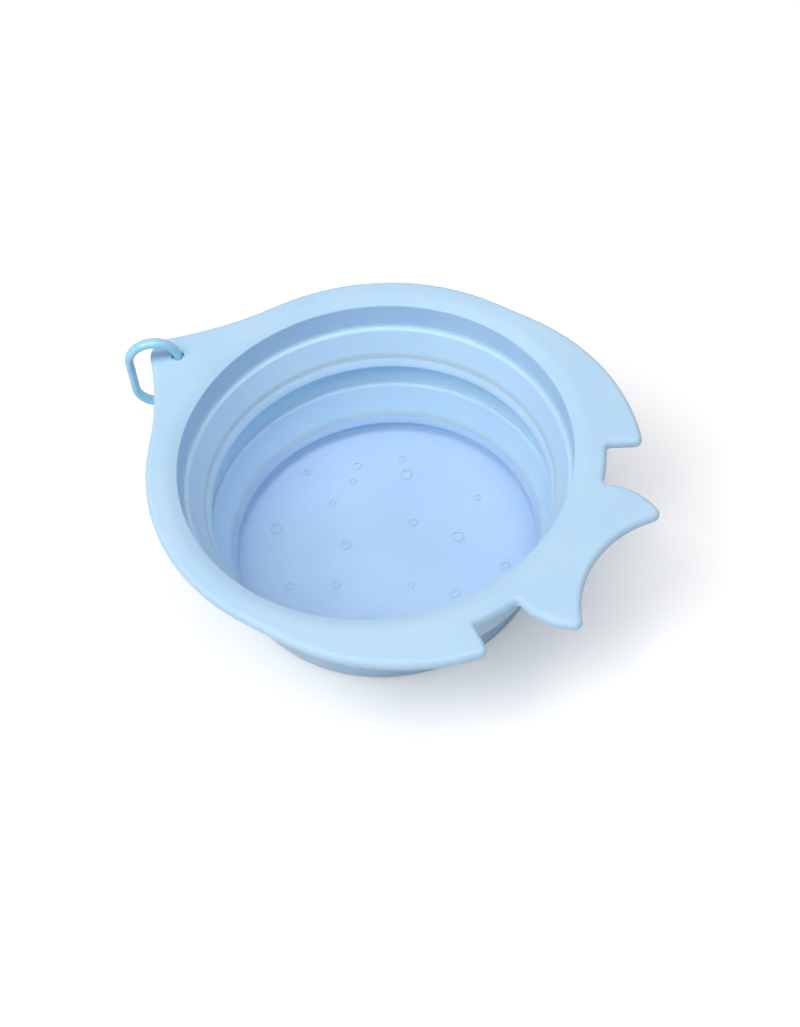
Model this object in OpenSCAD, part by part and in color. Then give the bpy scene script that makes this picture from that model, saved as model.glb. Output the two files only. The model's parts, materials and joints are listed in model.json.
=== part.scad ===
// Collapsible silicone bowl with a fish-shaped rim and a small carabiner.
// The bowl stands opened on the plane z = 0, with its axis on z.
// The fish's tail points along +x and its nose along -x. Lengths are in millimetres.

/* [Bowl wall, from the floor up] */
// Radius of the flat floor inside
floor_r = 51.2; // [40:0.1:65]
// Thickness of the floor
floor_t = 2; // [1.5:0.1:4]
// Height of the lower stiff ring
lower_ring_h = 9.5; // [8:0.1:14]
// How far the lower ring's inside leans outwards
lower_ring_lean = 1.4; // [0.5:0.1:2.5]
// Height of the lower fold when the bowl is open
lower_fold_h = 9.5; // [7:0.1:11]
// How far the lower fold spreads outwards
lower_fold_flare = 4.8; // [4:0.1:7]
// Height of the middle stiff ring
middle_ring_h = 15.3; // [13:0.1:20]
// Height of the upper fold when the bowl is open
upper_fold_h = 7.9; // [6:0.1:10]
// How far the upper fold spreads outwards
upper_fold_flare = 5.2; // [4:0.1:7]
// Height of the upper stiff ring under the rim
upper_ring_h = 7; // [5:0.1:10]
// How far the upper ring's inside leans outwards
upper_ring_lean = 1.1; // [0.5:0.1:2.5]
// Wall of the upper ring at its foot
upper_ring_wall = 3.2; // [2.5:0.1:5]
// Level thickness of both folds
fold_t = 1.3; // [0.9:0.1:1.8]
// Set-back of each fold from the ring below it
fold_step = 0.4; // [0.2:0.1:1]
// Rounding of the outer edge under the base
base_round = 4; // [2.5:0.1:6]

/* [Beads inside the lower and middle rings] */
// Radius of the bead's round section
bead_r = 3; // [2:0.1:4]
// How far the bead stands out of the ring's wall
bead_out = 0.5; // [0.2:0.1:0.9]
// Depth of the bead's crest below the ring's top
bead_drop = 2.5; // [2:0.1:4]

/* [Fish rim] */
// Thickness of the flat rim
rim_t = 4.5; // [3:0.1:6]
// Thickness of the rim's nose end, which is cut back underneath
nose_t = 2.5; // [2:0.1:3]
// How far that cut reaches back into the round rim
nose_back = 13; // [10:0.5:16]
// How far the opening's edge leans outwards through the rim
rim_lean = 0.9; // [0.4:0.1:1.4]
// Width of the rim at its narrowest
rim_w = 9.7; // [8:0.1:18]
// Straight stretch of the fish's back before the fin's curve
fin_flat = 14.5; // [8:0.5:20]
// Radius of the fin's outer curve
fin_r = 75; // [65:0.5:82]
// Angle from the tail to the fin's trailing edge
fin_angle = 32.5; // [29:0.5:40]
// Largest half width of the tail
tail_half_w = 28.3; // [24:0.1:33]
// Radius of each tail lobe's outer curve
tail_lobe_r = 23.3; // [19:0.1:25]
// Distance of the lobes' centres past the round rim
tail_lobe_out = 5; // [3:0.1:8]
// Distance of the fork's deepest point past the round rim
fork_out = 8.1; // [6:0.1:10]
// Radius of the fork's hollow end
fork_r = 35; // [30:0.5:45]
// Distance of the nose's centre past the round rim
nose_out = 9.1; // [8:0.1:13]
// Radius of the nose's round tip
nose_r = 7.2; // [6:0.1:8]
// Radius of the hollow flanks beside the nose
flank_r = 122; // [80:1:160]
// Sideways turn of the soft nose about the bowl's axis
nose_turn = 0.9; // [0:0.1:2]
// Rounding of the fin and tail tips
tip_round = 2.5; // [1:0.1:3.5]
// Rounding of the inner corners between fins and tail
root_round = 1.6; // [1:0.1:3]
// Distance of the eyelet past the round rim
eyelet_out = 5.9; // [5:0.1:8]
// Radius of the eyelet
eyelet_r = 2.6; // [2.4:0.1:3]

/* [Raised circles on the floor] */
// Height of the raised circles
bubble_h = 0.3; // [0.2:0.05:0.6]
// Width of a circle's raised line
bubble_line = 0.4; // [0.3:0.05:0.7]
// Largest outer radius of a circle
bubble_r = 2.2; // [1.6:0.1:3]

/* [Carabiner] */
// Diameter of the carabiner's rod
rod_d = 3.2; // [3:0.1:3.8]
// Centreline radius of the two round ends
bow_r = 8.3; // [8:0.1:11]
// Length of the straight sides
side_len = 13; // [12:0.5:20]
// Depth of the upper round end's centre below the rim's top
bow_drop = 0.5; // [0.3:0.1:1]
// Turn of the carabiner's plane away from the fish's axis
carabiner_turn = 41; // [20:1:50]
// Thickness of the flat tongues at the rod's two ends
tongue_t = 1.2; // [1:0.05:1.4]
// Length of the upper tongue that the gate closes over
latch_len = 1.6; // [1.3:0.1:2]
// Diameter of the gate's hinge rivet
rivet_d = 1; // [0.8:0.05:1.2]
// Bore of the hollow gate
gate_bore_d = 2; // [1.7:0.05:2.2]
// Diameter of the spring's wire
spring_wire_d = 0.3; // [0.2:0.05:0.3]
// Turns of the spring
spring_turns = 3; // [2:1:3]

/* [Hidden] */
$fn = 128;

// Overrun of every cut past the faces that it opens
over = 1;
// Running clearance between the rivet and the gate, on the radius
rivet_clear = 0.05;
// Clearance beside a tongue in its slot
slot_clear = 0.15;
// Clearance between the ends of the gate and the rod
end_gap = 0.45;
// Rod left between the rim's underside and the latch tongue
latch_clear = 0.6;
// Height of the hinge rivet above the rod's lower end
rivet_rise = 2.4;
// Length of the gate below the hinge rivet
gate_tail = 1.2;
// Radius of the hinge tongue's round end
hinge_tongue_r = 1.3;
// Width of the latch tongue
latch_w = 2.6;
// How far the rivet stands out of the gate on each side
rivet_out = 0.25;
// Solid stretch of the gate between its bore and the latch slot
gate_web = 1;
// Clearance of the spring from the gate's bore, on the radius
spring_clear = 0.1;
// Clearance of the spring's ends from the tongue below it and the bore's end above it
spring_gap = 0.2;
// Sides of the spring's wire and steps in one of its turns
spring_sides = 6;
spring_steps = 12;

// Levels of the seams between the rings and folds
lower_ring_z = floor_t;
lower_fold_z = lower_ring_z + lower_ring_h;
middle_ring_z = lower_fold_z + lower_fold_h;
upper_fold_z = middle_ring_z + middle_ring_h;
upper_ring_z = upper_fold_z + upper_fold_h;
rim_z = upper_ring_z + upper_ring_h;
rim_top = rim_z + rim_t;

// Radii of the inside, from the floor up. A ring's outside is flush with the foot of the fold
// on it, so that the fold can turn over and hang beside the ring.
ring_wall = fold_step + fold_t;
lower_ring_r = floor_r + lower_ring_lean;
lower_fold_r = lower_ring_r + fold_step;
middle_ring_r = lower_fold_r + lower_fold_flare;
upper_fold_r = middle_ring_r + fold_step;
upper_ring_r = upper_fold_r + upper_fold_flare;
rim_bore_r = upper_ring_r + upper_ring_lean;
opening_r = rim_bore_r + rim_lean;
base_r = floor_r + ring_wall;
rim_r = opening_r + rim_w;
eyelet_x = rim_r + eyelet_out;
nose_x = rim_r + nose_out;

// Raised circles as [share of the floor's radius, angle, share of the largest circle]
bubble_shares = [[0.78, 140, 0.75], [0.8, 116, 0.75], [0.66, 112, 1], [0.66, 146, 0.6],
    [0.93, 163, 0.6], [0.82, 198, 1], [0.58, 167, 0.6], [0.3, 205, 0.85], [0.46, 252, 0.7],
    [0.74, 236, 0.8], [0.86, 266, 0.6], [0.62, 288, 1], [0.8, 318, 0.7], [0.36, 330, 0.6],
    [0.62, 352, 0.85], [0.84, 20, 0.75], [0.5, 42, 1], [0.76, 66, 0.6], [0.28, 84, 0.75]];

// Levels on the carabiner's gate side, above the centre of the lower round end
latch_top = side_len + bow_drop - nose_t - latch_clear;
gate_low = rivet_rise - gate_tail;
gate_top = latch_top - end_gap;
hinge_slot_top = rivet_rise + hinge_tongue_r + slot_clear;
latch_slot_z = latch_top - latch_len - end_gap;
bore_top = latch_slot_z - gate_web;

// The spring's helix, which fills the bore from the hinge tongue to the bore's end
spring_z = hinge_slot_top + spring_gap + spring_wire_d / 2;
spring_pitch = (bore_top - spring_gap - spring_wire_d / 2 - spring_z) / spring_turns;
spring_r = gate_bore_d / 2 - spring_clear - spring_wire_d / 2;

// The flank beside the nose is a circle that touches the round rim and the nose's tip from outside.
// flank_angle is the angle at the bowl's axis between the nose and that circle's centre.
flank_centre_r = rim_r + flank_r;
flank_nose_r = nose_r + flank_r;
flank_angle = acos((flank_centre_r^2 + nose_x^2 - flank_nose_r^2) / (2 * flank_centre_r * nose_x));
flank_centre = flank_centre_r * [-cos(flank_angle), sin(flank_angle)];
flank_rim_point = rim_r * [-cos(flank_angle), sin(flank_angle)];
flank_nose_point = [-nose_x, 0] + nose_r / flank_nose_r * (flank_centre - [-nose_x, 0]);

silicone = [0.69, 0.85, 0.97];
silicone_deep = [0.61, 0.79, 0.95];
silicone_fold = [0.66, 0.83, 0.96];
blue_paint = [0.5, 0.8, 0.92];
steel = [0.75, 0.76, 0.78];

module both_sides() {
    children();
    mirror([0, 1])
        children();
}

// Flat outline of the fish without its small roundings
module fish_corners() {
    circle(rim_r);
    fins();
    tail();
    nose();
}

module fins() {
    reach = rim_r + fin_r;
    difference() {
        union() {
            translate([0, -rim_r])
                square([fin_flat, 2 * rim_r]);
            both_sides()
                translate([fin_flat, rim_r - fin_r])
                    circle(fin_r);
        }
        polygon([[0, 0], [reach, reach * tan(fin_angle)], [reach, -reach * tan(fin_angle)]]);
    }
}

module tail() {
    difference() {
        both_sides()
            translate([rim_r + tail_lobe_out, tail_half_w - tail_lobe_r])
                circle(tail_lobe_r);
        translate([rim_r + fork_out + fork_r, 0])
            circle(fork_r);
    }
}

module nose() {
    rotate(-nose_turn) {
        translate([-nose_x, 0])
            circle(nose_r);
        difference() {
            polygon([flank_rim_point, flank_nose_point, [flank_nose_point.x, -flank_nose_point.y],
                [flank_rim_point.x, -flank_rim_point.y]]);
            both_sides()
                translate(flank_centre)
                    circle(flank_r);
        }
    }
}

module fish_outline() {
    offset(r = tip_round)
        offset(r = -tip_round - root_round)
            offset(r = root_round)
                fish_corners();
}

module fish_rim() {
    color(silicone)
        difference() {
            translate([0, 0, rim_z])
                linear_extrude(rim_t)
                    fish_outline();
            translate([0, 0, rim_z])
                rotate_extrude()
                    polygon([[0, -over], [rim_bore_r, -over], [rim_bore_r, 0], [opening_r, rim_t],
                        [opening_r, rim_t + over], [0, rim_t + over]]);
            rotate(-nose_turn)
                translate([-eyelet_x, 0, rim_z - over])
                    cylinder(h = rim_t + 2 * over, r = eyelet_r);
            nose_relief();
        }
}

// The nose end of the rim is cut back underneath, outside the upper ring, which leaves room for the
// carabiner's gate.
module nose_relief() {
    nose_end = nose_x + nose_r + over;
    depth = rim_t - nose_t + over;
    rotate(-nose_turn)
        translate([0, 0, rim_z - over])
            difference() {
                translate([-nose_end, -nose_end / 2, 0])
                    cube([nose_end - rim_r + nose_back, nose_end, depth]);
                translate([0, 0, -over])
                    cylinder(h = depth + 2 * over, r = upper_ring_r + upper_ring_wall);
            }
}

module upper_ring() {
    outside = upper_ring_r + upper_ring_wall;
    color(silicone_deep)
        translate([0, 0, upper_ring_z])
            rotate_extrude()
                polygon([[upper_ring_r, 0], [outside, 0], [outside, upper_ring_h],
                    [rim_bore_r, upper_ring_h]]);
}

// A thin cone between two rings, which turns over when the bowl is pressed flat
module fold(foot_r, flare, height) {
    color(silicone_fold)
        rotate_extrude()
            polygon([[foot_r, 0], [foot_r + fold_t, 0], [foot_r + flare + fold_t, height],
                [foot_r + flare, height]]);
}

module upper_fold() {
    translate([0, 0, upper_fold_z])
        fold(upper_fold_r, upper_fold_flare, upper_fold_h);
}

module lower_fold() {
    translate([0, 0, lower_fold_z])
        fold(lower_fold_r, lower_fold_flare, lower_fold_h);
}

// Section of a stiff ring with a round bead under its top edge
module beaded_section(foot_r, top_r, height) {
    polygon([[foot_r, 0], [foot_r + ring_wall, 0], [top_r + ring_wall, height], [top_r, height]]);
    intersection() {
        translate([top_r - bead_out + bead_r, height - bead_drop])
            circle(bead_r);
        translate([top_r - bead_out, 0])
            square([ring_wall, height]);
    }
}

module middle_ring() {
    color(silicone_deep)
        translate([0, 0, middle_ring_z])
            rotate_extrude()
                beaded_section(middle_ring_r, middle_ring_r, middle_ring_h);
}

// Corner that the rounding takes off the base's lower outer edge
module base_corner() {
    corner = base_r - base_round;
    difference() {
        translate([corner, -over])
            square([base_round + over, base_round + over]);
        translate([corner, base_round])
            circle(base_round);
    }
}

module lower_ring() {
    color(silicone_deep)
        rotate_extrude()
            difference() {
                translate([0, lower_ring_z])
                    beaded_section(floor_r, lower_ring_r, lower_ring_h);
                base_corner();
            }
}

module floor_panel() {
    color(silicone)
        rotate_extrude()
            difference() {
                square([base_r, floor_t]);
                base_corner();
            }
}

module floor_bubbles() {
    color(silicone_fold)
        for (bubble = bubble_shares)
            rotate(bubble[1])
                translate([bubble[0] * (floor_r - bubble_r), 0, floor_t])
                    difference() {
                        cylinder(h = bubble_h, r = bubble[2] * bubble_r);
                        translate([0, 0, -over])
                            cylinder(h = bubble_h + 2 * over, r = bubble[2] * bubble_r - bubble_line);
                    }
}

// Places the carabiner so that its gate side stands in the middle of the eyelet. Its own x points
// outwards in the carabiner's plane and its origin is the centre of the lower round end.
module in_eyelet() {
    rotate(-nose_turn)
        translate([-eyelet_x, 0, rim_top - bow_drop - side_len])
            rotate(180 + carabiner_turn)
                translate([bow_r, 0, 0])
                    children();
}

// Round end of the carabiner, a half ring about a centre at the given height
module bow(height, start) {
    translate([0, 0, height])
        rotate([90, 0, 0])
            rotate(start)
                rotate_extrude(angle = 180)
                    translate([bow_r, 0])
                        circle(d = rod_d);
}

module straight_rod(place, from, to) {
    translate([place, 0, from])
        cylinder(h = to - from, d = rod_d);
}

// Flat tongue in the carabiner's plane, on the gate side between two levels
module tongue(from, to, width) {
    translate([-bow_r - width / 2, -tongue_t / 2, from])
        cube([width, tongue_t, to - from]);
}

module carabiner_frame() {
    color(blue_paint)
        in_eyelet() {
            difference() {
                union() {
                    bow(side_len, 0);
                    bow(0, 180);
                    straight_rod(bow_r, 0, side_len);
                    straight_rod(-bow_r, latch_top, side_len);
                    tongue(latch_top - latch_len, latch_top, latch_w);
                    tongue(0, rivet_rise, 2 * hinge_tongue_r);
                    translate([-bow_r, tongue_t / 2, rivet_rise])
                        rotate([90, 0, 0])
                            cylinder(h = tongue_t, r = hinge_tongue_r);
                }
                translate([-bow_r, rod_d / 2, rivet_rise])
                    rotate([90, 0, 0])
                        cylinder(h = rod_d, d = rivet_d);
            }
        }
}

module carabiner_gate() {
    slot = tongue_t + 2 * slot_clear;
    color(blue_paint)
        in_eyelet()
            translate([-bow_r, 0, 0])
                difference() {
                    translate([0, 0, gate_low])
                        cylinder(h = gate_top - gate_low, d = rod_d);
                    translate([0, 0, gate_low - over])
                        cylinder(h = bore_top - gate_low + over, d = gate_bore_d);
                    translate([-rod_d, -slot / 2, gate_low - over])
                        cube([2 * rod_d, slot, hinge_slot_top - gate_low + over]);
                    translate([-rod_d, -slot / 2, latch_slot_z])
                        cube([2 * rod_d, slot, gate_top - latch_slot_z + over]);
                    translate([0, rod_d, rivet_rise])
                        rotate([90, 0, 0])
                            cylinder(h = 2 * rod_d, r = rivet_d / 2 + rivet_clear);
                }
}

module hinge_rivet() {
    color(steel)
        in_eyelet()
            translate([-bow_r, rod_d / 2 + rivet_out, rivet_rise])
                rotate([90, 0, 0])
                    cylinder(h = rod_d + 2 * rivet_out, d = rivet_d);
}

// Centre line of the spring's wire, and the ring of points round it at each step
function helix_point(step) =
    let (turn = 360 * step / spring_steps)
    [spring_r * cos(turn), spring_r * sin(turn), spring_pitch * step / spring_steps];

function helix_ring(step) =
    let (turn = 360 * step / spring_steps,
        outwards = [cos(turn), sin(turn), 0],
        slope = atan2(spring_pitch, 2 * PI * spring_r),
        upwards = [sin(slope) * sin(turn), -sin(slope) * cos(turn), cos(slope)])
    [for (side = [0 : spring_sides - 1])
        let (angle = 360 * side / spring_sides)
        helix_point(step) + spring_wire_d / 2 * (cos(angle) * outwards + sin(angle) * upwards)];

spring_gaps = [for (step = [0 : spring_steps])
    norm(helix_point(step + spring_steps) - helix_point(step)) - spring_wire_d];
echo(least_gap_between_spring_turns = min(spring_gaps));

module gate_spring() {
    steps = spring_turns * spring_steps;
    points = [for (step = [0 : steps]) each helix_ring(step)];
    start_cap = [for (side = [0 : spring_sides - 1]) side];
    end_cap = [for (side = [spring_sides - 1 : -1 : 0]) steps * spring_sides + side];
    skin = [for (step = [0 : steps - 1], side = [0 : spring_sides - 1])
        let (low = step * spring_sides, next = (side + 1) % spring_sides)
        each [[low + side, low + spring_sides + side, low + spring_sides + next],
            [low + side, low + spring_sides + next, low + next]]];
    color(steel)
        in_eyelet()
            translate([-bow_r, 0, spring_z])
                polyhedron(points, concat([start_cap, end_cap], skin));
}

fish_rim();
upper_ring();
upper_fold();
middle_ring();
lower_fold();
lower_ring();
floor_panel();
floor_bubbles();
carabiner_frame();
carabiner_gate();
hinge_rivet();
gate_spring();
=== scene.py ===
# %% [markdown]
# # A collapsible silicone bowl
#
# The bowl is one soft moulding: a flat rim in the outline of a fish, three stiff rings, and two thin
# folds between the rings that turn over when the bowl is pressed flat. A small carabiner hangs in the
# fish's nose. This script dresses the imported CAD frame: the frame says where every ring, fold and
# hinge is, and the meshes below give the soft edges and the finish that the real silicone has.

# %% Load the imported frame
import json
import math
import bmesh
import bpy
from mathutils import Matrix, Vector


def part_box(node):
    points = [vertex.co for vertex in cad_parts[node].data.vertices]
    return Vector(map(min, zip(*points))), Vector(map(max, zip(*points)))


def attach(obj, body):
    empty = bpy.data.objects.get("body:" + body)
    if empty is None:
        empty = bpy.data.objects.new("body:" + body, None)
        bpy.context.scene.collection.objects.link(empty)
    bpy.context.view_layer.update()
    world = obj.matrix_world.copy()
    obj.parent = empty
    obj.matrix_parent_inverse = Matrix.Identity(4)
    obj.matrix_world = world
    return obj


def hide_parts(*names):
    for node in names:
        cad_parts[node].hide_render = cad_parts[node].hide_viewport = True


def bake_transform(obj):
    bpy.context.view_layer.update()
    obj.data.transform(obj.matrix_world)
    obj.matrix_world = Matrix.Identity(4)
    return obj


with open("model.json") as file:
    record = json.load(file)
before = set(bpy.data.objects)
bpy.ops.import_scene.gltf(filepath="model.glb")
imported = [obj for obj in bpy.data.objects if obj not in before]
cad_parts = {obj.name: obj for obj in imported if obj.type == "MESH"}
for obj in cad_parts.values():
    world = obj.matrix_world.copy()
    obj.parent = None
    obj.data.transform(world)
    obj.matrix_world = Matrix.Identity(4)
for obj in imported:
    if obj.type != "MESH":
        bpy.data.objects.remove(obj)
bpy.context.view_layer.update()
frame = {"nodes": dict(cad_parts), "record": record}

MM = 0.001

# %% [markdown]
# ## Camera
#
# The camera stands above the front of the bowl and a little to the tail's side. Its angles, its
# distance and its lens were fitted to the ellipses of the rim and the rings, so the picture's
# perspective is that of the photograph. A camera could be turned with Euler angles, but a matrix of
# its right, up and back directions shows plainly what each number does.

# %% Place the camera
AZIMUTH = math.radians(39.16)
ELEVATION = math.radians(52.8)
ROLL = math.radians(-7.35)
DISTANCE = 696.7 * MM
AIM = Vector((21.2, -17.0, 55.7)) * MM
SENSOR_HEIGHT = 36.0
LENS = 77.1
CLIP_START = 10 * MM


def photo_camera():
    back = Vector((math.sin(AZIMUTH) * math.cos(ELEVATION),
                   -math.cos(AZIMUTH) * math.cos(ELEVATION), math.sin(ELEVATION)))
    level = Vector((math.cos(AZIMUTH), math.sin(AZIMUTH), 0))
    rise = back.cross(level)
    right = level * math.cos(ROLL) + rise * math.sin(ROLL)
    up = rise * math.cos(ROLL) - level * math.sin(ROLL)
    data = bpy.data.cameras.new("photo_camera")
    data.sensor_fit = "VERTICAL"
    data.sensor_height = SENSOR_HEIGHT
    data.lens = LENS
    data.clip_start = CLIP_START
    camera = bpy.data.objects.new("photo_camera", data)
    camera.matrix_world = Matrix.LocRotScale(
        AIM + back * DISTANCE, Matrix((right, up, back)).transposed(), None)
    bpy.context.scene.collection.objects.link(camera)
    return camera


bpy.context.scene.camera = photo_camera()
print("camera at", [round(c, 3) for c in bpy.context.scene.camera.location])

# %% [markdown]
# ## Sizes from the frame
#
# The seams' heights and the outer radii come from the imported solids, so the meshes stay where the CAD
# pieces are. The walls' thickness, the lean of the lowest ring and the step at a fold's foot repeat the
# solids' own sizes, which a box doesn't tell. The roundings that soft rubber has are chosen below.

# %% Read the seams and radii
FOLD_T = 1.3 * MM
FOLD_OUT = 0.4 * MM
RING_WALL = 1.7 * MM
LOWER_LEAN = 1.4 * MM
floor_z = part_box("floor_panel")[1][2]
lower_seam, middle_foot = (corner[2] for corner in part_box("lower_fold"))
upper_seam, rim_foot = (corner[2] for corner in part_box("upper_fold"))
rim_under, rim_top = (corner[2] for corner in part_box("fish_rim"))
lower_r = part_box("lower_ring")[1][0] - RING_WALL
base_r = lower_r - LOWER_LEAN + RING_WALL
middle_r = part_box("middle_ring")[1][0] - RING_WALL
lower_fold_r = lower_r + FOLD_OUT
upper_fold_r = middle_r + FOLD_OUT
upper_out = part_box("upper_ring")[1][0]
upper_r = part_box("upper_fold")[1][0] - FOLD_T
print("seams in mm:", [round(z / MM, 1) for z in (floor_z, lower_seam, middle_foot, upper_seam,
                                                rim_foot, rim_under, rim_top)])
print("radii in mm:", [round(r / MM, 1) for r in (base_r, lower_r, middle_r, upper_r, upper_out)])

# %% [markdown]
# ## Helpers for materials
#
# Each finish is a small tree of shader nodes on the piece's own coordinates, so that it stays with the
# piece when the piece moves. A painted texture could look the same from one side, but nodes have no
# seams and need no picture. The helpers below add a noise, a blend of two colours, a range of values
# and a fine grain.

# %% Helpers for node materials
def add_node(tree, kind, **values):
    node = tree.nodes.new(kind)
    for name, value in values.items():
        setattr(node, name, value)
    return node


def new_material(name):
    material = bpy.data.materials.new(name)
    material.use_nodes = True
    tree = material.node_tree
    tree.nodes.clear()
    shader = add_node(tree, "ShaderNodeBsdfPrincipled")
    output = add_node(tree, "ShaderNodeOutputMaterial")
    place = add_node(tree, "ShaderNodeTexCoord")
    tree.links.new(shader.outputs["BSDF"], output.inputs["Surface"])
    return material, tree, shader, place


def noise(tree, place, size, detail=2.0):
    texture = add_node(tree, "ShaderNodeTexNoise")
    texture.inputs["Scale"].default_value = 1 / size
    texture.inputs["Detail"].default_value = detail
    tree.links.new(place.outputs["Object"], texture.inputs["Vector"])
    return texture


def blend_colours(tree, texture, first, second, low=0.35, high=0.65):
    ramp = add_node(tree, "ShaderNodeValToRGB")
    ramp.color_ramp.elements[0].position = low
    ramp.color_ramp.elements[1].position = high
    ramp.color_ramp.elements[0].color = (*first, 1)
    ramp.color_ramp.elements[1].color = (*second, 1)
    tree.links.new(texture.outputs["Fac"], ramp.inputs["Fac"])
    return ramp


def map_value(tree, texture, low, high):
    spread = add_node(tree, "ShaderNodeMapRange")
    spread.inputs["To Min"].default_value = low
    spread.inputs["To Max"].default_value = high
    tree.links.new(texture.outputs["Fac"], spread.inputs["Value"])
    return spread


def grain(tree, place, shader, size, depth, strength):
    bump = add_node(tree, "ShaderNodeBump")
    bump.inputs["Strength"].default_value = strength
    bump.inputs["Distance"].default_value = depth
    tree.links.new(noise(tree, place, size).outputs["Fac"], bump.inputs["Height"])
    tree.links.new(bump.outputs["Normal"], shader.inputs["Normal"])


print("helpers for materials are ready")

# %% [markdown]
# ## Painted shade inside the base
#
# Inside the base, where the wall and the floor shade each other, the blue is painted darker than
# outside as shade. Two materials on two sets of faces could show that, but with a hard border. A mask
# from the piece's own coordinates fades softly: it is one above the floor's top and within the leaning
# wall.

# %% Mask the painted shade inside the base
WALL_MIDDLE = 0.6 * MM
SHADE_FADE = 0.3 * MM


def fade(tree, socket, start, end, first=0.0, second=1.0):
    spread = add_node(tree, "ShaderNodeMapRange", interpolation_type="SMOOTHSTEP")
    for name, value in (("From Min", start), ("From Max", end), ("To Min", first), ("To Max", second)):
        spread.inputs[name].default_value = value
    tree.links.new(socket, spread.inputs["Value"])
    return spread.outputs["Result"]


def distance_from_axis(tree, place):
    level = add_node(tree, "ShaderNodeVectorMath", operation="MULTIPLY")
    level.inputs[1].default_value = (1, 1, 0)
    length = add_node(tree, "ShaderNodeVectorMath", operation="LENGTH")
    tree.links.new(place.outputs["Object"], level.inputs[0])
    tree.links.new(level.outputs["Vector"], length.inputs[0])
    return length.outputs["Value"]


# The mask is one where the base's blue is painted darker as shade.
def painted_shade_mask(tree, place):
    split = add_node(tree, "ShaderNodeSeparateXYZ")
    tree.links.new(place.outputs["Object"], split.inputs["Vector"])
    upright = add_node(tree, "ShaderNodeMath", operation="MULTIPLY_ADD")
    upright.inputs[1].default_value = -LOWER_LEAN / (lower_seam - floor_z)
    tree.links.new(split.outputs["Z"], upright.inputs[0])
    tree.links.new(distance_from_axis(tree, place), upright.inputs[2])
    border_r = lower_r - WALL_MIDDLE
    within = fade(tree, upright.outputs["Value"], border_r - SHADE_FADE, border_r, 1, 0)
    above = fade(tree, split.outputs["Z"], floor_z - SHADE_FADE, floor_z - SHADE_FADE / 4)
    both = add_node(tree, "ShaderNodeMath", operation="MULTIPLY")
    tree.links.new(within, both.inputs[0])
    tree.links.new(above, both.inputs[1])
    return both.outputs["Value"]


# The painted shade ends at this radius.
print("border of the deeper tone in mm:", round((lower_r - WALL_MIDDLE) / MM, 1))

# %% [markdown]
# ## Silicone
#
# Moulded silicone is a soft satin: a broad dull highlight, a little light that enters the surface
# and comes out again, and a fine grain from the mould. A flat colour would look like paper. Here a
# slow noise shifts the blue a little, a fine noise gives the grain, and subsurface scattering
# softens the creases. The bowl is one silicone in three copies: the rim has its deeper blue, the
# walls a lighter blue that paints light into their shade, and the base is also painted darker
# inside as shade.

# %% Make the silicone
RIM_BLUES = (0.505, 0.725, 0.91), (0.535, 0.755, 0.93)
# Lighter blues for the walls than for the rim: painted light in the walls' shade.
WALL_PAINTED_LIGHT_BLUES = (0.54, 0.75, 0.96), (0.57, 0.78, 0.98)
# Darker blues painted as shade inside the base.
FLOOR_PAINTED_SHADE_BLUES = (0.435, 0.60, 0.80), (0.465, 0.63, 0.83)
TINT_SIZE = 30 * MM
SATIN_SIZE = 6 * MM
SATIN_ROUGHNESS = 0.5, 0.62
GRAIN_SIZE = 0.35 * MM
GRAIN_DEPTH = 0.05 * MM
GRAIN_STRENGTH = 0.12
SILICONE_IOR = 1.41
SCATTER_WEIGHT = 0.6
SCATTER_RADII = (0.5, 0.7, 1.0)
SCATTER_SCALE = 1.6 * MM


def silicone(name, first, second, shade_blues=None):
    material, tree, shader, place = new_material(name)
    tint = noise(tree, place, TINT_SIZE)
    colour = blend_colours(tree, tint, first, second).outputs["Color"]
    # Inside the mask a darker blend of blues is painted as shade.
    if shade_blues:
        mix = add_node(tree, "ShaderNodeMixRGB")
        tree.links.new(painted_shade_mask(tree, place), mix.inputs["Fac"])
        tree.links.new(colour, mix.inputs["Color1"])
        tree.links.new(blend_colours(tree, tint, *shade_blues).outputs["Color"], mix.inputs["Color2"])
        colour = mix.outputs["Color"]
    tree.links.new(colour, shader.inputs["Base Color"])
    satin = map_value(tree, noise(tree, place, SATIN_SIZE), *SATIN_ROUGHNESS)
    tree.links.new(satin.outputs["Result"], shader.inputs["Roughness"])
    grain(tree, place, shader, GRAIN_SIZE, GRAIN_DEPTH, GRAIN_STRENGTH)
    shader.inputs["IOR"].default_value = SILICONE_IOR
    shader.inputs["Subsurface Weight"].default_value = SCATTER_WEIGHT
    shader.inputs["Subsurface Radius"].default_value = SCATTER_RADII
    shader.inputs["Subsurface Scale"].default_value = SCATTER_SCALE
    return material


rim_silicone = silicone("rim_silicone", *RIM_BLUES)
# The walls' copy of the one silicone is lighter than the rim's: painted light.
wall_painted_light_silicone = silicone("wall_painted_light_silicone", *WALL_PAINTED_LIGHT_BLUES)
# The base's copy is painted darker inside as shade.
base_painted_light_and_shade_silicone = silicone("base_painted_light_and_shade_silicone", *WALL_PAINTED_LIGHT_BLUES, shade_blues=FLOOR_PAINTED_SHADE_BLUES)
print("silicone:", rim_silicone.name, wall_painted_light_silicone.name, base_painted_light_and_shade_silicone.name)

# %% [markdown]
# ## Spun sections
#
# Rings and folds are round, so each is one section turned about the bowl's axis. A section is a wire
# of a few corners; a vertex bevel rounds each corner as the mould does, and a spin sweeps it. A
# screw modifier could do the same, but the spin leaves a plain mesh that can be welded to others.

# %% Helpers for spun sections
AROUND = 192
WELD = 0.002 * MM
ROUND_STEPS = 6


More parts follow.
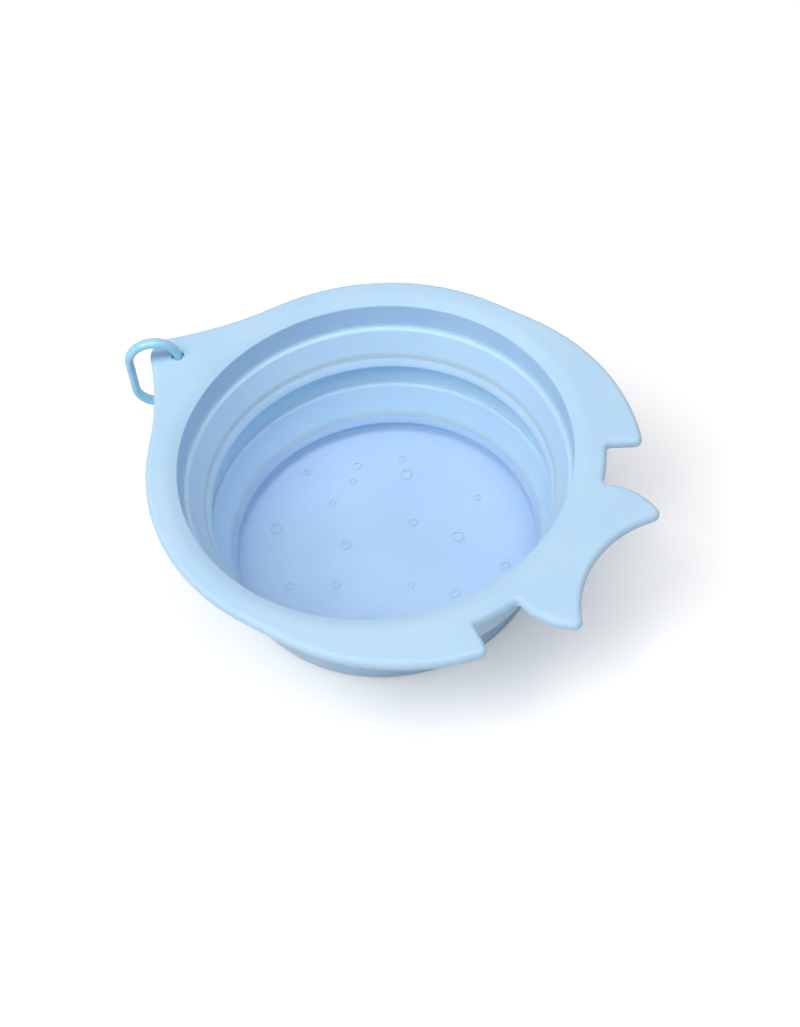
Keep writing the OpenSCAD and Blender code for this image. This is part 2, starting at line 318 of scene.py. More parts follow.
def section_wire(bm, corners, closed):
    verts = [bm.verts.new((r, 0, z)) for r, z, rounding in corners]
    pairs = list(zip(verts, verts[1:])) + ([(verts[-1], verts[0])] if closed else [])
    for pair in pairs:
        bm.edges.new(pair)
    for vert, (r, z, rounding) in zip(verts, corners):
        if rounding:
            bmesh.ops.bevel(bm, geom=[vert], offset=rounding, offset_type="OFFSET", profile=0.5,
                            segments=ROUND_STEPS, affect="VERTICES", material=-1)


def spin_section(bm, steps=AROUND):
    wire = bm.verts[:] + bm.edges[:]
    bmesh.ops.spin(bm, geom=wire, cent=(0, 0, 0), axis=(0, 0, 1), angle=2 * math.pi, steps=steps,
                   use_merge=True)


def add_spun(bm, corners, steps=AROUND, closed=False, centre=(0, 0, 0)):
    part = bmesh.new()
    section_wire(part, corners, closed)
    spin_section(part, steps)
    bmesh.ops.translate(part, verts=part.verts[:], vec=centre)
    mesh = bpy.data.meshes.new("section")
    part.to_mesh(mesh)
    part.free()
    bm.from_mesh(mesh)
    bpy.data.meshes.remove(mesh)


def finish_piece(bm, name, material):
    bmesh.ops.remove_doubles(bm, verts=bm.verts[:], dist=WELD)
    bmesh.ops.recalc_face_normals(bm, faces=bm.faces[:])
    mesh = bpy.data.meshes.new(name)
    bm.to_mesh(mesh)
    bm.free()
    mesh.shade_smooth()
    mesh.materials.append(material)
    piece = bpy.data.objects.new(name, mesh)
    bpy.context.scene.collection.objects.link(piece)
    print(name, "faces:", len(mesh.polygons))
    return piece


def spun_piece(name, corners, material, closed=True):
    bm = bmesh.new()
    section_wire(bm, corners, closed)
    spin_section(bm)
    return finish_piece(bm, name, material)


print("steps around a spun piece:", AROUND)

# %% [markdown]
# ## Base
#
# The base is the floor and the lowest stiff ring. The floor runs into the wall with a small hollow
# round, the wall is set back under a round bead, and the bead's top slopes up to the place where the
# fold starts. The outer edge underneath is well rounded, as on anything that leaves a mould.

# %% Turn the base
BEAD_IN = 1.75 * MM
BEAD_H = 4.4 * MM
BEAD_DOWN = 1.1 * MM
BEAD_SLOPE = 1.25
BEAD_ROUND = 2.2 * MM
BEAD_FOOT = 0.4 * MM
SMALL_ROUND = 0.3 * MM
TOP_ROUND = 0.5 * MM
CREASE_OUT = 0.5 * MM
CREASE_DOWN = 0.4 * MM
WALL_IN = 0.3 * MM
FLOOR_ROUND = 1.0 * MM
BASE_ROUND = 4 * MM
HIP_ROUND = 2 * MM


def beaded_inside(top, fold_foot_r, wall_r):
    crest_r = fold_foot_r - BEAD_IN
    return [(fold_foot_r + FOLD_T, top, SMALL_ROUND),
            (fold_foot_r + CREASE_OUT, top - CREASE_DOWN, 0),
            (fold_foot_r, top - BEAD_DOWN, 0),
            (crest_r, top - BEAD_DOWN - BEAD_IN * BEAD_SLOPE, BEAD_ROUND),
            (crest_r, top - BEAD_H, SMALL_ROUND),
            (wall_r, top - BEAD_H - BEAD_FOOT, SMALL_ROUND)]


base_corners = [(0, floor_z, 0), (base_r - FLOOR_ROUND, floor_z, FLOOR_ROUND),
                *reversed(beaded_inside(lower_seam, lower_fold_r, lower_r - WALL_IN)),
                (lower_r + RING_WALL, lower_seam, TOP_ROUND),
                (base_r, floor_z + BASE_ROUND, HIP_ROUND), (base_r, 0, BASE_ROUND), (0, 0, 0)]
base_body = spun_piece("base_body", base_corners, base_painted_light_and_shade_silicone, closed=False)
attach(base_body, "base")
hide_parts("lower_ring", "floor_panel")

# %% [markdown]
# ## Middle ring
#
# The middle ring is the tallest stiff wall. It has the same bead as the base, it is set back below
# the bead, and its foot runs with a hollow round into the ledge at the top of the lower fold.

# %% Turn the middle ring
WALL_BACK = 1.1 * MM
RECESS = 1.3 * MM
UNDERCUT = 0.2 * MM
FILLET = 1.2 * MM
LEDGE_IN = 1.25 * MM
LEDGE_UP = 0.1 * MM


def ring_foot(wall_r, foot_z):
    return [(wall_r, foot_z - LEDGE_UP, FILLET), (wall_r - LEDGE_IN, foot_z - LEDGE_UP, 0)]


middle_wall_r = middle_r + RECESS
middle_out = middle_wall_r + RING_WALL - WALL_BACK
middle_corners = [*beaded_inside(upper_seam, upper_fold_r, middle_wall_r - UNDERCUT),
                  *ring_foot(middle_wall_r, middle_foot),
                  (middle_out, middle_foot - LEDGE_UP, SMALL_ROUND), (middle_out, upper_seam, TOP_ROUND)]
middle_body = spun_piece("middle_body", middle_corners, wall_painted_light_silicone)
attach(middle_body, "middle")
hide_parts("middle_ring")

# %% [markdown]
# ## Folds
#
# A fold is a thin cone. Its foot laps over the bead below in a short soft step, and its top ends in
# a level ledge that catches the light as a thin bright line. It bends between two rings, so its slopes
# are cut into short stretches; its foot meets the ring below and its top the one above.

# %% Turn the two folds
FOLD_CUTS = 9
FOLD_SINK = 0.4 * MM
LEDGE_ROUND = 0.6 * MM
STEP = 0.34 * MM
LAP_SINK = 0.2 * MM
FOOT_ROUND = 0.2 * MM


def fold_web(name, foot_r, foot_z, top_r, top_z, wall_r):
    bm = bmesh.new()
    ledge_r = wall_r - LEDGE_IN
    lap = BEAD_IN / 2
    corners = [(foot_r - lap, foot_z - BEAD_DOWN - lap * BEAD_SLOPE - LAP_SINK, 0),
               (foot_r, foot_z - BEAD_DOWN + LEDGE_UP, LEDGE_ROUND),
               (foot_r + STEP, foot_z + STEP, LEDGE_ROUND),
               (ledge_r - LEDGE_ROUND, top_z + LEDGE_UP, LEDGE_ROUND),
               (wall_r, top_z + LEDGE_UP, 0),
               (top_r + FOLD_T, top_z - FOLD_SINK, SMALL_ROUND),
               (foot_r + FOLD_T, foot_z, FOOT_ROUND)]
    section_wire(bm, corners, closed=True)
    slopes = [e for e in bm.edges if e.calc_length() > (top_z - foot_z) / 2]
    bmesh.ops.subdivide_edges(bm, edges=slopes, cuts=FOLD_CUTS)
    spin_section(bm)
    return finish_piece(bm, name, wall_painted_light_silicone)


lower_web = fold_web("lower_fold_web", lower_fold_r, lower_seam, middle_r, middle_foot, middle_wall_r)
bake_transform(lower_web)
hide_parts("lower_fold")
upper_wall_r = upper_r + WALL_BACK
upper_web = fold_web("upper_fold_web", upper_fold_r, upper_seam, upper_r, rim_foot, upper_wall_r)
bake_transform(upper_web)
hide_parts("upper_fold")

# %% [markdown]
# ## Fish rim: the outline
#
# The rim is a flat plate cut to the outline of a fish. The outline could be drawn again as a curve, but
# then it would have to be kept in step with the solid. So it comes from the CAD rim's own top face: the
# loops of edges round that face are the eyelet, the opening and the fish.

# %% Take the fish outline from the CAD rim
SHORTEST_EDGE = 0.15 * MM


def top_loops(node):
    bm = bmesh.new()
    bm.from_mesh(frame["nodes"][node].data)
    bmesh.ops.remove_doubles(bm, verts=bm.verts[:], dist=WELD)
    on_top = {f for f in bm.faces if all(abs(v.co.z - rim_top) < WELD for v in f.verts)}
    bmesh.ops.delete(bm, geom=[f for f in bm.faces if f not in on_top], context="FACES")
    bmesh.ops.remove_doubles(bm, verts=bm.verts[:], dist=SHORTEST_EDGE)
    boundary = [e for e in bm.edges if e.is_boundary]
    left = set(boundary)
    loops = []
    for first in boundary:
        if first not in left:
            continue
        left.remove(first)
        start, vert = first.verts
        loop = [start]
        while vert is not start:
            loop.append(vert)
            edge = next(e for e in vert.link_edges if e in left)
            left.remove(edge)
            vert = edge.other_vert(vert)
        loops.append([v.co.copy() for v in loop])
    bm.free()
    return loops


def extent(loop):
    return max(p.x for p in loop) - min(p.x for p in loop)


rim_loops = sorted(top_loops("fish_rim"), key=extent)
eyelet, outline = rim_loops[0], rim_loops[-1]
eyelet_centre = sum(eyelet, Vector()) / len(eyelet)
print("points on the outline:", len(outline), "length in mm:", round(extent(outline) / MM, 1))
print("eyelet at", [round(c / MM, 2) for c in eyelet_centre])

# %% [markdown]
# ## Fish rim: the edge
#
# The edge of the plate is oval. A bevel could round it on the long stretches, but in narrow notches its
# faces can cross. Here a chain of insets starts at the middle height and steps up and inwards along a
# quarter of an oval, and another steps down, which rounds the edge evenly in every notch.

# %% Round the rim's edge
EDGE_STEPS = 6
EDGE_IN = 1.8 * MM
FLAT_MARGIN = 0.4 * MM
rim_middle = (rim_top + rim_under) / 2
edge_rise = rim_top - rim_middle


def rounded_edge(bm, towards):
    face = bm.faces.new([bm.verts.new((p.x, p.y, rim_middle)) for p in outline])
    face.normal_update()
    if face.normal.z * towards < 0:
        face.normal_flip()
    angles = [math.pi / 2 * step / EDGE_STEPS for step in range(EDGE_STEPS + 1)]
    for low, high in zip(angles, angles[1:]):
        bmesh.ops.inset_region(bm, faces=[face], use_boundary=True, use_even_offset=True,
                               thickness=EDGE_IN * (math.cos(low) - math.cos(high)),
                               depth=edge_rise * (math.sin(high) - math.sin(low)))
    bmesh.ops.inset_region(bm, faces=[face], use_boundary=True, use_even_offset=True,
                           thickness=FLAT_MARGIN, depth=0)
    bmesh.ops.delete(bm, geom=[face], context="FACES_ONLY")


rim = bmesh.new()
rounded_edge(rim, 1)
rounded_edge(rim, -1)
print("faces on the rim's edge:", len(rim.faces))

# %% [markdown]
# ## Fish rim: the lip, the ring and the eyelet
#
# A gentle lip turns the plate down into the upper stiff ring, and the nose has a small round eyelet. Both
# are spun sections. Booleans could join them to the plate, but can leave long thin faces. Here the flat
# faces are filled between the loops, so that the whole rim is one skin.

# %% Add the lip, the ring and the eyelet
OPENING_R = 64.7 * MM
LIP_W = 4.0 * MM
LIP_DROP = 1.6 * MM
LIP_ROUND = 1.5 * MM
LIP_EDGE = 0.4 * MM
RING_END_ROUND = 0.8 * MM
RIM_FILLET = 1.0 * MM
EYELET_R = 2.0 * MM
EYELET_ROUND = 0.6 * MM
EYELET_STEPS = 48


def fill_flat(bm, height, towards):
    rim_edges = [e for e in bm.edges
                 if len(e.link_faces) < 2 and all(abs(v.co.z - height) < WELD for v in e.verts)]
    bmesh.ops.triangle_fill(bm, edges=rim_edges, use_beauty=True, normal=(0, 0, towards))


add_spun(rim, [(OPENING_R + LIP_W + LIP_ROUND + FLAT_MARGIN, rim_top, 0),
               (OPENING_R + LIP_W, rim_top, LIP_ROUND),
               (OPENING_R, rim_top - LIP_DROP, LIP_EDGE),
               *ring_foot(upper_wall_r, rim_foot),
               (upper_out, rim_foot, RING_END_ROUND),
               (upper_out, rim_under, RIM_FILLET),
               (upper_out + RIM_FILLET + FLAT_MARGIN, rim_under, 0)])
eyelet_flat_r = EYELET_R + EYELET_ROUND + FLAT_MARGIN
add_spun(rim, [(eyelet_flat_r, rim_top, 0), (EYELET_R, rim_top, EYELET_ROUND),
               (EYELET_R, rim_under, EYELET_ROUND), (eyelet_flat_r, rim_under, 0)],
         steps=EYELET_STEPS, centre=(eyelet_centre.x, eyelet_centre.y, 0))
fill_flat(rim, rim_top, 1)
fill_flat(rim, rim_under, -1)
print("faces with the lip and the eyelet:", len(rim.faces))

# %% [markdown]
# ## Fish rim: the thin nose
#
# Underneath, the nose is thinner than the rest, which leaves room for the carabiner's gate to swing. A
# block could be cut away there. Instead two cuts mark a short ramp, and the points past it are squeezed
# up towards the middle height, which keeps the rounded edge and the closed skin.

# %% Thin the nose and finish the rim
NOSE_T = 2.5 * MM
NOSE_START = 61 * MM
NOSE_RAMP = 2 * MM
nose_under = rim_top - NOSE_T


def thin_nose(bm):
    bmesh.ops.remove_doubles(bm, verts=bm.verts[:], dist=WELD)
    for x in (-NOSE_START, -NOSE_START - NOSE_RAMP):
        below = {f for f in bm.faces
                 if all(rim_under - WELD < v.co.z < rim_middle + WELD for v in f.verts)}
        parts = below | {e for f in below for e in f.edges} | {v for f in below for v in f.verts}
        bmesh.ops.bisect_plane(bm, geom=list(parts), dist=WELD, plane_co=(x, 0, 0), plane_no=(1, 0, 0))
    for vert in bm.verts:
        share = min(max((-vert.co.x - NOSE_START) / NOSE_RAMP, 0), 1)
        outside = vert.co.xy.length > upper_out + WELD
        if outside and rim_under - WELD < vert.co.z < rim_middle:
            squeezed = rim_middle - (rim_middle - vert.co.z) * (rim_middle - nose_under) / edge_rise
            vert.co.z += (squeezed - vert.co.z) * share


thin_nose(rim)
rim_body = finish_piece(rim, "rim_body", rim_silicone)
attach(rim_body, "rim")
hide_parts("fish_rim", "upper_ring")
loose = bmesh.new()
loose.from_mesh(rim_body.data)
print("open edges on the rim:", sum(not e.is_manifold for e in loose.edges))
loose.free()

# %% [markdown]
# ## Raised circles on the floor
#
# A few small raised circles stand on the floor like bubbles. Each is a half-round line turned about
# its own centre. Their places come from the CAD circles, one island of their mesh at a time, so
# nothing has to be copied by hand.

# %% Raise the circles
CIRCLE_LINE = 0.5 * MM
CIRCLE_ROUND = CIRCLE_LINE / 2.2
CIRCLE_SINK = CIRCLE_LINE / 4
CIRCLE_STEPS = 32
circle_foot = floor_z - CIRCLE_SINK


def islands(node):
    bm = bmesh.new()
    bm.from_mesh(frame["nodes"][node].data)
    bmesh.ops.remove_doubles(bm, verts=bm.verts[:], dist=WELD)
    left = set(bm.verts)
    groups = []
    for first in bm.verts:
        if first not in left:
            continue
        left.remove(first)
        group, queue = [], [first]
        while queue:
            vert = queue.pop()
            group.append(vert.co.copy())
            near = {e.other_vert(vert) for e in vert.link_edges} & left
            left -= near
            queue.extend(near)
        groups.append(group)
    bm.free()
    return groups


circles = bmesh.new()
for island in islands("floor_bubbles"):
    low = Vector([min(p[k] for p in island) for k in range(3)])
    high = Vector([max(p[k] for p in island) for k in range(3)])
    outer = (high.x - low.x) / 2
    inner = outer - CIRCLE_LINE
    add_spun(circles, [(outer, circle_foot, 0), (outer, high.z, CIRCLE_ROUND),
                       (inner, high.z, CIRCLE_ROUND), (inner, circle_foot, 0)],
             steps=CIRCLE_STEPS, closed=True, centre=((low.x + high.x) / 2, (low.y + high.y) / 2, 0))
floor_circles = finish_piece(circles, "floor_circles", base_painted_light_and_shade_silicone)
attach(floor_circles, "base")
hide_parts("floor_bubbles")

# %% [markdown]
# ## Carabiner finish
#
# The carabiner is bent rod with a glossy blue coating, and its rivet and spring are bright steel. The
# coating is a clear coat over a slightly uneven blue; the steel is metallic with a fine uneven polish.
# One plain colour each could do from afar, but up close the second, sharper highlight of the clear coat
# is what tells coated metal from rubber.

# %% Make the coating and the steel
COAT_BLUES = (0.33, 0.69, 0.92), (0.37, 0.74, 0.95)
COAT_TINT_SIZE = 4 * MM
COAT_SHEEN_SIZE = 1.5 * MM
COAT_ROUGHNESS = 0.24, 0.34
COAT_GRAIN_SIZE = 0.8 * MM
COAT_GRAIN_DEPTH = 0.03 * MM
COAT_GRAIN_STRENGTH = 0.1
CLEAR_COAT = 0.5
CLEAR_COAT_ROUGHNESS = 0.12
STEEL_GREYS = (0.62, 0.63, 0.65), (0.74, 0.75, 0.77)
POLISH_SIZE = 0.6 * MM
POLISH_DETAIL = 4.0
STEEL_ROUGHNESS = 0.22, 0.36


def coating(name, first, second):
    material, tree, shader, place = new_material(name)
    ramp = blend_colours(tree, noise(tree, place, COAT_TINT_SIZE), first, second)
    tree.links.new(ramp.outputs["Color"], shader.inputs["Base Color"])
    sheen = map_value(tree, noise(tree, place, COAT_SHEEN_SIZE), *COAT_ROUGHNESS)
    tree.links.new(sheen.outputs["Result"], shader.inputs["Roughness"])
    grain(tree, place, shader, COAT_GRAIN_SIZE, COAT_GRAIN_DEPTH, COAT_GRAIN_STRENGTH)
    shader.inputs["Coat Weight"].default_value = CLEAR_COAT
    shader.inputs["Coat Roughness"].default_value = CLEAR_COAT_ROUGHNESS
    return material


def bright_steel(name):
    material, tree, shader, place = new_material(name)
    polish = noise(tree, place, POLISH_SIZE, POLISH_DETAIL)
    ramp = blend_colours(tree, polish, *STEEL_GREYS)
    tree.links.new(ramp.outputs["Color"], shader.inputs["Base Color"])
    rough = map_value(tree, polish, *STEEL_ROUGHNESS)
    tree.links.new(rough.outputs["Result"], shader.inputs["Roughness"])
    shader.inputs["Metallic"].default_value = 1.0
    return material


blue_coating = coating("blue_coating", *COAT_BLUES)
steel = bright_steel("bright_steel")
print("finishes:", blue_coating.name, steel.name)

# %% [markdown]
# ## Carabiner: where it hangs
#
# The carabiner hangs upright in the nose's eyelet. Its place could be typed in, but the frame's joints
# know it already: one hinge gives the centre of the upper bow and the carabiner's plane, and the other
# gives the rivet. The rod, the rivet and the spring are shaped in that plane, and one transform puts
# each of them in its place.

# %% Find the carabiner's own axes
ROD_R = 1.6 * MM
joints = {joint["name"]: joint for joint in frame["record"]["behaviour"]["joints"]}
upper_centre = Vector(joints["carabiner_swing"]["pos_m"])
rivet_place = Vector(joints["gate_swing"]["pos_m"])
rod_low, rod_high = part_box("carabiner_frame")
bow_r = rod_high[2] - upper_centre.z - ROD_R
side_len = upper_centre.z - (rod_low[2] + ROD_R + bow_r)
across = -Vector(joints["carabiner_swing"]["axis"]).normalized()
outwards = across.cross(Vector((0, 0, 1)))
to_eyelet = Matrix((outwards, across, (0, 0, 1))).transposed().to_4x4()
to_eyelet.translation = upper_centre - Vector((0, 0, side_len))
rivet_rise = rivet_place.z - to_eyelet.translation.z
print("bow radius and side in mm:", round(bow_r / MM, 2), round(side_len / MM, 2))

# %% [markdown]
# ## Carabiner: the rod
#
# The rod is one slightly oval ring swept along its path: a half turn round the lower centre, a
# straight side, a half turn round the upper centre and a short stub. Spins and an extrude make it. A
# curve with a round bevel could do it too, but a mesh lets the ends be shaped with the same tools.

# %% Bend the rod
ROD_FLAT = 1.5 * MM
ROD_DEEP = 1.9 * MM
ROD_SIDES = 32
BOW_STEPS = 40
END_ROUND = 0.3 * MM
BEVEL_STEPS = 3
LATCH_RISE = 0.45 * MM
latch_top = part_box("carabiner_gate")[1][2] - to_eyelet.translation.z + LATCH_RISE


def turn_about(bm, ring, centre, angle, steps):
    swept = bmesh.ops.spin(bm, geom=ring, cent=centre, axis=(0, 1, 0), angle=angle, steps=steps)
    return [g for g in swept["geom_last"] if isinstance(g, (bmesh.types.BMVert, bmesh.types.BMEdge))]


def run_straight(bm, ring, vector):
    edges = [g for g in ring if isinstance(g, bmesh.types.BMEdge)]
    moved = bmesh.ops.extrude_edge_only(bm, edges=edges)
    verts = [g for g in moved["geom"] if isinstance(g, bmesh.types.BMVert)]
    bmesh.ops.translate(bm, verts=verts, vec=vector)
    return [g for g in moved["geom"] if not isinstance(g, bmesh.types.BMFace)]


rod = bmesh.new()
ring = bmesh.ops.create_circle(rod, radius=ROD_R, segments=ROD_SIDES)["verts"]
bmesh.ops.scale(rod, verts=ring, vec=(ROD_FLAT / ROD_R, ROD_DEEP / ROD_R, 1))
bmesh.ops.translate(rod, verts=ring, vec=(-bow_r, 0, 0))
ring = ring + rod.edges[:]
ring = turn_about(rod, ring, (0, 0, 0), -math.pi, BOW_STEPS)
ring = run_straight(rod, ring, (0, 0, side_len))
ring = turn_about(rod, ring, (0, 0, side_len), -math.pi, BOW_STEPS)
run_straight(rod, ring, (0, 0, latch_top - side_len))
bmesh.ops.remove_doubles(rod, verts=rod.verts[:], dist=WELD)
open_edges = [e for e in rod.edges if e.is_boundary]
ends = bmesh.ops.holes_fill(rod, edges=open_edges, sides=ROD_SIDES)["faces"]
bmesh.ops.bevel(rod, geom=[e for f in ends for e in f.edges], offset=END_ROUND, segments=BEVEL_STEPS,
                profile=0.5, affect="EDGES", material=-1)
print("rod spans", [round(f(v.co.z for v in rod.verts) / MM, 2) for f in (min, max)])

# %% [markdown]
# ## Carabiner: the tongues
#
# Each end of the rod has a flat tongue that goes into a slot of the gate: the latch above, and below a
# hinge with a round boss. They could be cut out of the rod with booleans, but blocks with soft edges and
# a short cylinder that stand in the rod look the same and keep clean edges.

# %% Add the tongues and place the carabiner
TONGUE_T = 1.2 * MM
TONGUE_ROUND = 0.12 * MM
LATCH_W = 2.6 * MM
LATCH_LEN = 1.6 * MM
HINGE_R = 1.3 * MM
half_t = TONGUE_T / 2


def soft_block(bm, low, high, rounding):
    block = bmesh.ops.create_cube(bm, size=1)["verts"]
    size = Vector(high) - Vector(low)
    bmesh.ops.scale(bm, verts=block, vec=size)
    bmesh.ops.translate(bm, verts=block, vec=(Vector(high) + Vector(low)) / 2)
    edges = {e for v in block for e in v.link_edges}
    bmesh.ops.bevel(bm, geom=list(edges), offset=rounding, segments=BEVEL_STEPS, profile=0.5,
                    affect="EDGES", material=-1)


soft_block(rod, (-bow_r - LATCH_W / 2, -half_t, latch_top - LATCH_LEN),
           (-bow_r + LATCH_W / 2, half_t, latch_top + END_ROUND), TONGUE_ROUND)
soft_block(rod, (-bow_r - HINGE_R, -half_t, -END_ROUND), (-bow_r + HINGE_R, half_t, rivet_rise),
           TONGUE_ROUND)
boss = bmesh.ops.create_cone(rod, cap_ends=True, segments=ROD_SIDES, radius1=HINGE_R, radius2=HINGE_R,
                             depth=TONGUE_T)["verts"]
lay_down = Matrix.Rotation(math.pi / 2, 3, "X")
bmesh.ops.rotate(rod, verts=boss, cent=(0, 0, 0), matrix=lay_down)
bmesh.ops.translate(rod, verts=boss, vec=(-bow_r, 0, rivet_rise))
bmesh.ops.transform(rod, verts=rod.verts[:], matrix=to_eyelet)
carabiner = finish_piece(rod, "carabiner_rod", blue_coating)
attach(carabiner, "carabiner")
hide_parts("carabiner_frame")

# %% [markdown]
# ## Gate
#
# The gate is a hollow rod with a slot at each end. It could be built again from sections, but its CAD
# mesh is right as it is: a merged copy with a small bevel softens its edges.

# %% Dress the gate
GATE_EDGE = 0.08 * MM
GATE_EDGE_STEPS = 2
SHARP_ANGLE = math.radians(40)
gate_bm = bmesh.new()
gate_bm.from_mesh(frame["nodes"]["carabiner_gate"].data)
gate = finish_piece(gate_bm, "gate_sleeve", blue_coating)
soft_edge = gate.modifiers.new("soft_edge", "BEVEL")
soft_edge.width = GATE_EDGE
soft_edge.segments = GATE_EDGE_STEPS
soft_edge.limit_method = "ANGLE"
soft_edge.angle_limit = SHARP_ANGLE
gate.data.set_sharp_from_angle(angle=SHARP_ANGLE)
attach(gate, "gate")
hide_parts("carabiner_gate")

# %% [markdown]
# ## Rivet
#
# The rivet is a steel pin with two domed heads that the gate turns on. A cylinder with two flattened
# spheres could stand for it, but one spun section gives the pin and its heads as one closed skin.

# %% Turn the rivet
RIVET_R = 0.5 * MM
HEAD_R = 0.85 * MM
HEAD_H = 0.25 * MM
HEAD_DOME = 0.9 * HEAD_H
rivet_half = ROD_R + HEAD_H
rivet_bm = bmesh.new()
add_spun(rivet_bm, [(0, rivet_half, 0), (HEAD_R, rivet_half, HEAD_DOME), (HEAD_R, ROD_R, 0),
                    (RIVET_R, ROD_R, 0), (RIVET_R, -ROD_R, 0), (HEAD_R, -ROD_R, 0),
                    (HEAD_R, -rivet_half, HEAD_DOME), (0, -rivet_half, 0)], steps=ROD_SIDES)
bmesh.ops.rotate(rivet_bm, verts=rivet_bm.verts[:], cent=(0, 0, 0), matrix=lay_down)
bmesh.ops.translate(rivet_bm, verts=rivet_bm.verts[:], vec=(-bow_r, 0, rivet_rise))
bmesh.ops.transform(rivet_bm, verts=rivet_bm.verts[:], matrix=to_eyelet)
rivet = finish_piece(rivet_bm, "rivet_pin", steel)
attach(rivet, "carabiner")
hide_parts("hinge_rivet")

# %% [markdown]
# ## Spring
#
# A small coil of wire inside the gate closes it. A curve with a bevel could draw it, but a spin that
# also climbs sweeps a ring of points into the whole coil in one step.

# %% Wind the spring
WIRE_R = 0.15 * MM
WIRE_SIDES = 10
COIL_R = 0.75 * MM
COIL_TURNS = 3
TURN_STEPS = 28
spring_low, spring_high = (corner[2] - to_eyelet.translation.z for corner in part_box("gate_spring"))
climb = spring_high - spring_low - 2 * WIRE_R
spring_bm = bmesh.new()
wire = bmesh.ops.create_circle(spring_bm, radius=WIRE_R, segments=WIRE_SIDES)["verts"]
bmesh.ops.rotate(spring_bm, verts=wire, cent=(0, 0, 0), matrix=lay_down)
bmesh.ops.translate(spring_bm, verts=wire, vec=(COIL_R, 0, 0))
coil_steps = COIL_TURNS * TURN_STEPS
bmesh.ops.spin(spring_bm, geom=spring_bm.verts[:] + spring_bm.edges[:], cent=(0, 0, 0), axis=(0, 0, 1),
               angle=2 * math.pi * COIL_TURNS, steps=coil_steps, dvec=(0, 0, climb / coil_steps))
coil_ends = [e for e in spring_bm.edges if e.is_boundary]
bmesh.ops.holes_fill(spring_bm, edges=coil_ends, sides=WIRE_SIDES)
bmesh.ops.translate(spring_bm, verts=spring_bm.verts[:], vec=(-bow_r, 0, spring_low + WIRE_R))
bmesh.ops.transform(spring_bm, verts=spring_bm.verts[:], matrix=to_eyelet)
spring = finish_piece(spring_bm, "gate_coil", steel)
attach(spring, "gate")
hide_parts("gate_spring")

# %% [markdown]
# ## Floor
#
# The bowl stands on a plain, slightly warm white sheet. A little glow, which the camera alone sees,
# keeps the sheet white where the lamps reach it and leaves the shadow beside the bowl. Far from the
# bowl the glow grows until the sheet is pure white. It doesn't light the bowl. A sheet that only glows
# would be simpler, but it would show no shadow.

# %% Lay the floor
SHEET_SIZE = 6.0
SHEET_DROP = 0.02 * MM
SHEET_WHITES = (0.87, 0.855, 0.83), (0.89, 0.875, 0.85)
SHEET_TINT_SIZE = 0.4
SHEET_ROUGHNESS = 0.9
FLOOR_GLOW = 0.28
GLOW_NEAR, GLOW_FAR = 0.3, 1.2


def white_sheet():
    material, tree, shader, place = new_material("white_sheet")
    ramp = blend_colours(tree, noise(tree, place, SHEET_TINT_SIZE), *SHEET_WHITES)
    tree.links.new(ramp.outputs["Color"], shader.inputs["Base Color"])
    shader.inputs["Roughness"].default_value = SHEET_ROUGHNESS
    shader.inputs["Emission Color"].default_value = (1, 1, 1, 1)
    path = add_node(tree, "ShaderNodeLightPath")
    glow = add_node(tree, "ShaderNodeMath", operation="MULTIPLY")
    reach = distance_from_axis(tree, place)
    tree.links.new(fade(tree, reach, GLOW_NEAR, GLOW_FAR, FLOOR_GLOW, 1), glow.inputs[1])
    tree.links.new(path.outputs["Is Camera Ray"], glow.inputs[0])
    tree.links.new(glow.outputs["Value"], shader.inputs["Emission Strength"])
    return material


sheet = bmesh.new()
bmesh.ops.create_grid(sheet, x_segments=1, y_segments=1, size=SHEET_SIZE / 2)
bmesh.ops.translate(sheet, verts=sheet.verts[:], vec=(0, 0, -SHEET_DROP))
floor = finish_piece(sheet, "studio_floor", white_sheet())

# %% [markdown]
# ## Light
#
# Soft studio light comes from three large round lamps. One high on the left throws the soft shadow to
# the right, one above the bowl lights the folds and the floor, and a weak low one reaches the side.
# Their directions are given as the camera sees them. Small lamps would do for the brightness, but
# their shadows have hard edges.

# %% Light the studio
def studio_lamp(name, direction, distance, size, power):
    data = bpy.data.lights.new(name, "AREA")
    data.shape = "DISK"
    data.size = size
    data.energy = power
    lamp = bpy.data.objects.new(name, data)
    towards = Vector(direction).normalized()
    lamp.matrix_world = Matrix.LocRotScale(
        Vector((0, 0, rim_top)) + towards * distance, towards.to_track_quat("Z", "Y"), None)
    bpy.context.scene.collection.objects.link(lamp)
    print(name, power, "W")


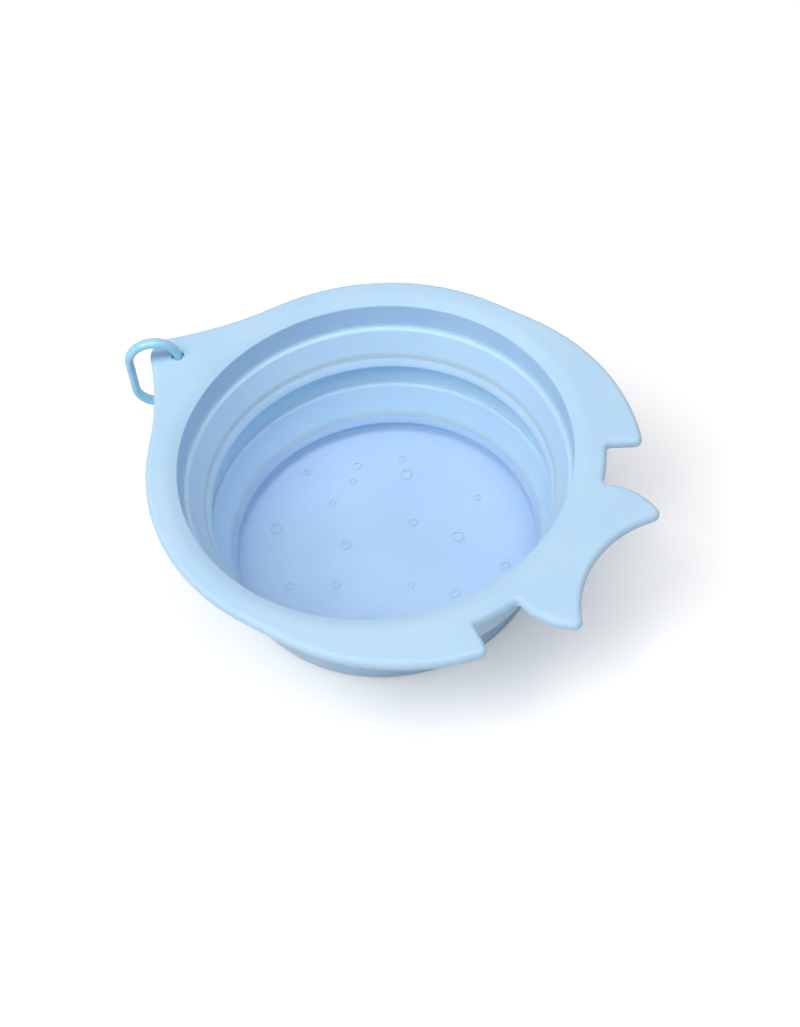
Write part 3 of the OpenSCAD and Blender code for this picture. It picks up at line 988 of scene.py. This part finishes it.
def from_camera(right, far, up):
    level = Vector((math.cos(AZIMUTH), math.sin(AZIMUTH), 0))
    away = Vector((-math.sin(AZIMUTH), math.cos(AZIMUTH), 0))
    return level * right + away * far + Vector((0, 0, up))


studio_lamp("key_lamp", from_camera(right=-0.9, far=-0.42, up=1.5), distance=2.4, size=1.5, power=27)
studio_lamp("top_lamp", from_camera(right=0.08, far=-0.18, up=1), distance=2.0, size=1.8, power=23)
studio_lamp("side_lamp", from_camera(right=-1, far=-0.35, up=0.2), distance=2.4, size=1.6, power=4)

# %% [markdown]
# ## Background
#
# The world adds a weak, even, slightly blue light. To the camera and to reflections it is plain white
# instead: the background is then white and the coating has something bright to mirror, while the soft
# light on the bowl stays weak.

# %% Colour the world
AMBIENT = 0.14
SKY = (0.92, 0.90, 1.10)


def studio_world():
    world = bpy.data.worlds.new("studio_world")
    world.use_nodes = True
    tree = world.node_tree
    tree.nodes.clear()
    ambient = add_node(tree, "ShaderNodeBackground")
    ambient.inputs["Strength"].default_value = AMBIENT
    ambient.inputs["Color"].default_value = (*SKY, 1)
    white = add_node(tree, "ShaderNodeBackground")
    white.inputs["Strength"].default_value = 1.0
    white.inputs["Color"].default_value = (1, 1, 1, 1)
    path = add_node(tree, "ShaderNodeLightPath")
    seen = add_node(tree, "ShaderNodeMath", operation="MAXIMUM")
    mirrored = add_node(tree, "ShaderNodeMath", operation="MAXIMUM")
    mix = add_node(tree, "ShaderNodeMixShader")
    output = add_node(tree, "ShaderNodeOutputWorld")
    tree.links.new(path.outputs["Is Glossy Ray"], mirrored.inputs[0])
    tree.links.new(path.outputs["Is Transmission Ray"], mirrored.inputs[1])
    tree.links.new(path.outputs["Is Camera Ray"], seen.inputs[0])
    tree.links.new(mirrored.outputs["Value"], seen.inputs[1])
    tree.links.new(seen.outputs["Value"], mix.inputs["Fac"])
    tree.links.new(ambient.outputs["Background"], mix.inputs[1])
    tree.links.new(white.outputs["Background"], mix.inputs[2])
    tree.links.new(mix.outputs["Shader"], output.inputs["Surface"])
    return world


bpy.context.scene.world = studio_world()
bpy.context.scene.view_settings.view_transform = "Standard"
print("world:", bpy.context.scene.world.name)
